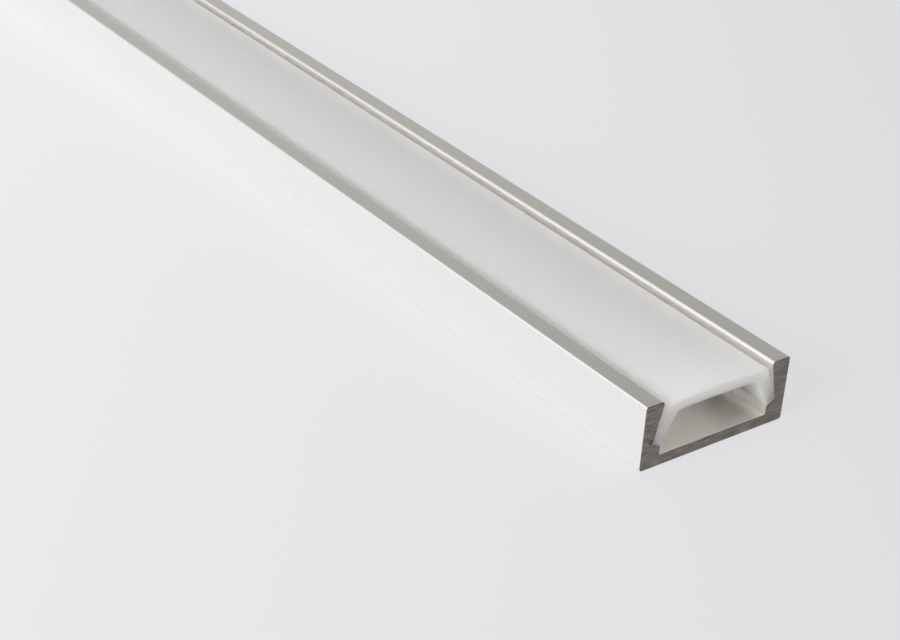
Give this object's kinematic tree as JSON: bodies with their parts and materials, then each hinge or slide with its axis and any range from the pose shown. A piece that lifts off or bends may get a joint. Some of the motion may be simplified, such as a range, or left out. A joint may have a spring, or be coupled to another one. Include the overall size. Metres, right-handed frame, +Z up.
{
  "type": "led strip profile",
  "caption": "Low aluminium channel for LED strip, with undercut side walls and a recessed opal diffuser cover that snaps into its grooves and slides out at the ends.",
  "frame": {"origin": "middle of the underside, which is the face that is fixed to a surface", "axes": "+X along the length, +Y across the width, +Z up, out of the cover"},
  "size_m": [0.2, 0.016, 0.0062],
  "materials": {
    "anodised_aluminium": "natural anodised, with fine grain along the length and dull sawn ends",
    "opal_plastic": "smooth satin, opal and translucent"
  },
  "bodies": {
    "profile": {"aluminium_profile": "anodised_aluminium"},
    "cover": {"diffuser_cover": "opal_plastic"}
  },
  "joints": [
    {"name": "cover_slide", "type": "slide", "parent": "profile", "child": "cover", "axis": [1, 0, 0], "range_m": [-0.2, 0.2]}
  ]
}
